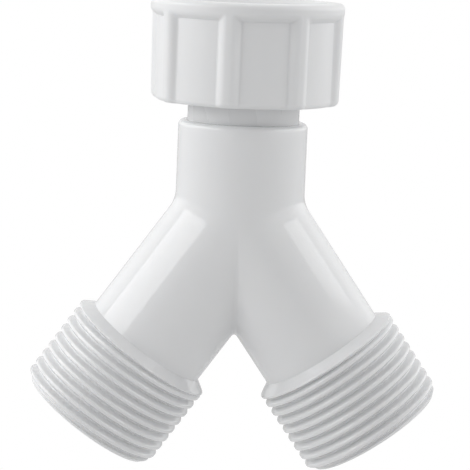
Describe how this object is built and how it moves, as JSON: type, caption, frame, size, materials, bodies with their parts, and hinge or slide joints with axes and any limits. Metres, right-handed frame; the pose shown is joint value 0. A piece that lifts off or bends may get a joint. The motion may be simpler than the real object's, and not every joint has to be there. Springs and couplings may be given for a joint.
{
  "type": "hose splitter",
  "caption": "Plastic Y hose splitter: a ribbed swivel nut with a female thread and sealing washer feeds a forked body with male-threaded outlets.",
  "frame": {"origin": "on the inlet's axis at the sealing plane, the top face of the washer, where the nut's thread begins", "axes": "+Z along the inlet's axis, out of the nut's mouth towards the tap; the outlets spread along X and hang towards -Z; the picture's front is -Y"},
  "size_m": [0.0699, 0.033, 0.0803],
  "materials": {
    "nut_plastic": "moulded white plastic, satin gloss",
    "nipple_plastic": "moulded white plastic, satin gloss",
    "washer_rubber": "matt black rubber",
    "body_plastic": "moulded white plastic, glossy"
  },
  "bodies": {
    "nut": {"swivel_nut": "nut_plastic"},
    "washer": {"sealing_washer": "washer_rubber"},
    "splitter": {"wye_body": "body_plastic", "inlet_nipple": "nipple_plastic"}
  },
  "joints": [
    {"name": "nut_play", "type": "slide", "parent": "nut", "child": "washer", "axis": [0, 0, 1], "range_m": [0, 0.0031]},
    {"name": "swivel", "type": "hinge", "parent": "washer", "child": "splitter", "pos_m": [0, 0, 0], "axis": [0, 0, 1], "continuous": true}
  ]
}
